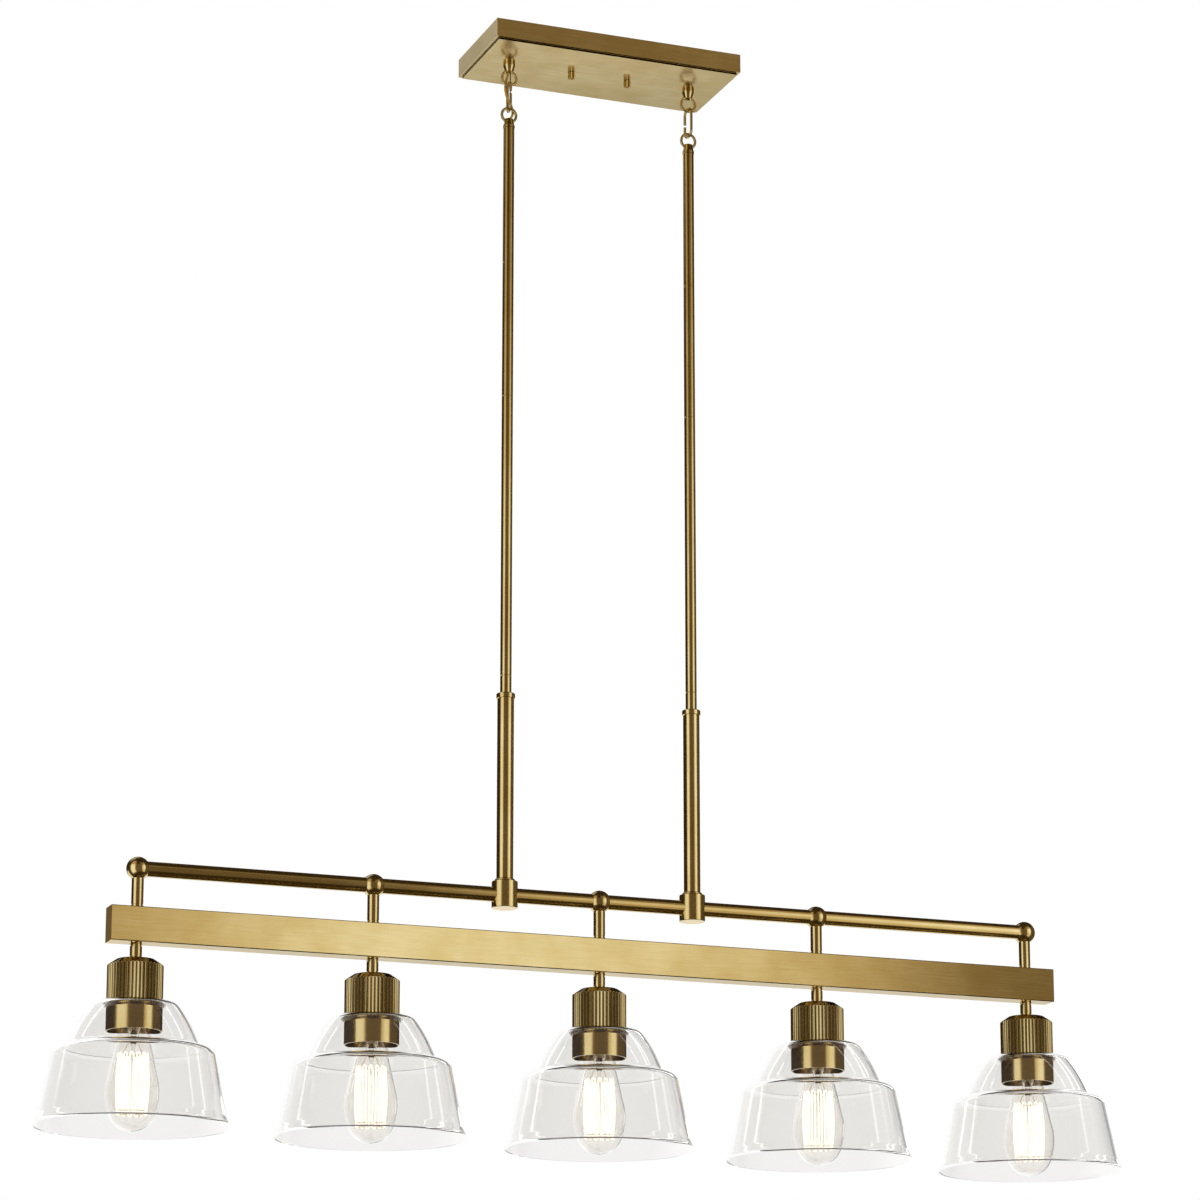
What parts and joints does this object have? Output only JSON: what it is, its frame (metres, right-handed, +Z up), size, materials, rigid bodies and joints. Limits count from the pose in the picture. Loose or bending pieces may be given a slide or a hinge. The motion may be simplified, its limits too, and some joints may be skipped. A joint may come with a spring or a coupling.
{
  "type": "linear island pendant",
  "caption": "Long ceiling fixture: rectangular canopy, stems hung on open links, rail and bar with clear stepped glass shades over filament bulbs.",
  "frame": {"origin": "on the ceiling plane, at the middle of the outlet box screw pattern, above the middle of the fixture", "axes": "+X along the fixture, -Y towards the viewer, +Z up; the fixture hangs below the origin"},
  "size_m": [1.2678, 0.2098, 1.2904],
  "materials": {
    "aged_brass": "aged antique brass, satin",
    "bar_brass": "aged antique brass, satin, with pale highlights",
    "zinc_steel": "zinc plated",
    "shade_glass": "clear, smooth",
    "bulb_glass": "clear, warm, lit",
    "socket_black": "moulded phenolic",
    "cord_jacket": "translucent gold jacket",
    "earth_wire": "dark insulated wire",
    "connector_plastic": "moulded"
  },
  "bodies": {
    "canopy": {"canopy_shell": "aged_brass", "box_strap": "zinc_steel", "canopy_strap": "zinc_steel", "strap_screws": "zinc_steel", "canopy_studs": "zinc_steel", "canopy_loop_left": "aged_brass", "canopy_loop_right": "aged_brass", "loop_locknuts": "zinc_steel", "wire_connectors": "connector_plastic", "cord_upper": "cord_jacket", "earth_wire_upper": "earth_wire"},
    "nut_left": {"canopy_nut_left": "aged_brass"},
    "nut_right": {"canopy_nut_right": "aged_brass"},
    "left_link": {"link_left": "aged_brass"},
    "right_link": {"link_right": "aged_brass"},
    "fixture": {"stem_loop_left": "aged_brass", "stem_loop_right": "aged_brass", "upper_stems": "aged_brass", "middle_stems": "aged_brass", "lower_stems": "aged_brass", "base_stems": "aged_brass", "stem_couplings": "zinc_steel", "sleeve_left": "aged_brass", "sleeve_right": "aged_brass", "sleeve_rings": "aged_brass", "tee_left": "aged_brass", "tee_right": "aged_brass", "rail_tubes": "aged_brass", "ball_joints": "aged_brass", "bar_posts": "aged_brass", "cross_bar": "bar_brass", "bar_end_caps": "bar_brass", "socket_drops": "aged_brass", "fluted_cap_1": "aged_brass", "fluted_cap_2": "aged_brass", "fluted_cap_3": "aged_brass", "fluted_cap_4": "aged_brass", "fluted_cap_5": "aged_brass", "lamp_socket_1": "socket_black", "lamp_socket_2": "socket_black", "lamp_socket_3": "socket_black", "lamp_socket_4": "socket_black", "lamp_socket_5": "socket_black", "cord_lower": "cord_jacket", "earth_wire_lower": "earth_wire"},
    "glass_1": {"retaining_cup_1": "aged_brass", "shade_1": "shade_glass"},
    "lamp_1": {"bulb_1": "bulb_glass"},
    "glass_2": {"retaining_cup_2": "aged_brass", "shade_2": "shade_glass"},
    "lamp_2": {"bulb_2": "bulb_glass"},
    "glass_3": {"retaining_cup_3": "aged_brass", "shade_3": "shade_glass"},
    "lamp_3": {"bulb_3": "bulb_glass"},
    "glass_4": {"retaining_cup_4": "aged_brass", "shade_4": "shade_glass"},
    "lamp_4": {"bulb_4": "bulb_glass"},
    "glass_5": {"retaining_cup_5": "aged_brass", "shade_5": "shade_glass"},
    "lamp_5": {"bulb_5": "bulb_glass"}
  },
  "joints": [
    {"name": "links_swing", "type": "hinge", "parent": "canopy", "child": "left_link", "pos_m": [-0.1122, 0, -0.0515], "axis": [1, 0, 0], "range_deg": [-40, 40], "deforming": ["cord_upper", "earth_wire_upper"]},
    {"name": "right_link_swing", "type": "hinge", "parent": "canopy", "child": "right_link", "pos_m": [0.1122, 0, -0.0515], "axis": [1, 0, 0], "range_deg": [-40, 40]},
    {"name": "fixture_swing", "type": "hinge", "parent": "left_link", "child": "fixture", "pos_m": [-0.1122, 0, -0.0799], "axis": [1, 0, 0], "range_deg": [-40, 40], "deforming": ["cord_lower", "earth_wire_lower"]},
    {"name": "nut_left_turn", "type": "hinge", "parent": "canopy", "child": "nut_left", "pos_m": [-0.03492, 0, -0.02885], "axis": [0, 0, 1], "continuous": true},
    {"name": "nut_right_turn", "type": "hinge", "parent": "canopy", "child": "nut_right", "pos_m": [0.03492, 0, -0.02885], "axis": [0, 0, 1], "continuous": true},
    {"name": "glass_1_release", "type": "slide", "parent": "fixture", "child": "glass_1", "axis": [0, 0, -1], "range_m": [0, 0.012]},
    {"name": "glass_2_release", "type": "slide", "parent": "fixture", "child": "glass_2", "axis": [0, 0, -1], "range_m": [0, 0.012]},
    {"name": "glass_3_release", "type": "slide", "parent": "fixture", "child": "glass_3", "axis": [0, 0, -1], "range_m": [0, 0.012]},
    {"name": "glass_4_release", "type": "slide", "parent": "fixture", "child": "glass_4", "axis": [0, 0, -1], "range_m": [0, 0.012]},
    {"name": "glass_5_release", "type": "slide", "parent": "fixture", "child": "glass_5", "axis": [0, 0, -1], "range_m": [0, 0.012]},
    {"name": "bulb_1_unscrew", "type": "slide", "parent": "fixture", "child": "lamp_1", "axis": [0, 0, -1], "range_m": [0, 0.026]},
    {"name": "bulb_2_unscrew", "type": "slide", "parent": "fixture", "child": "lamp_2", "axis": [0, 0, -1], "range_m": [0, 0.026]},
    {"name": "bulb_3_unscrew", "type": "slide", "parent": "fixture", "child": "lamp_3", "axis": [0, 0, -1], "range_m": [0, 0.026]},
    {"name": "bulb_4_unscrew", "type": "slide", "parent": "fixture", "child": "lamp_4", "axis": [0, 0, -1], "range_m": [0, 0.026]},
    {"name": "bulb_5_unscrew", "type": "slide", "parent": "fixture", "child": "lamp_5", "axis": [0, 0, -1], "range_m": [0, 0.026]}
  ],
  "couplings": [
    {"joint": "right_link_swing", "follows": "links_swing", "ratio": 1}
  ]
}
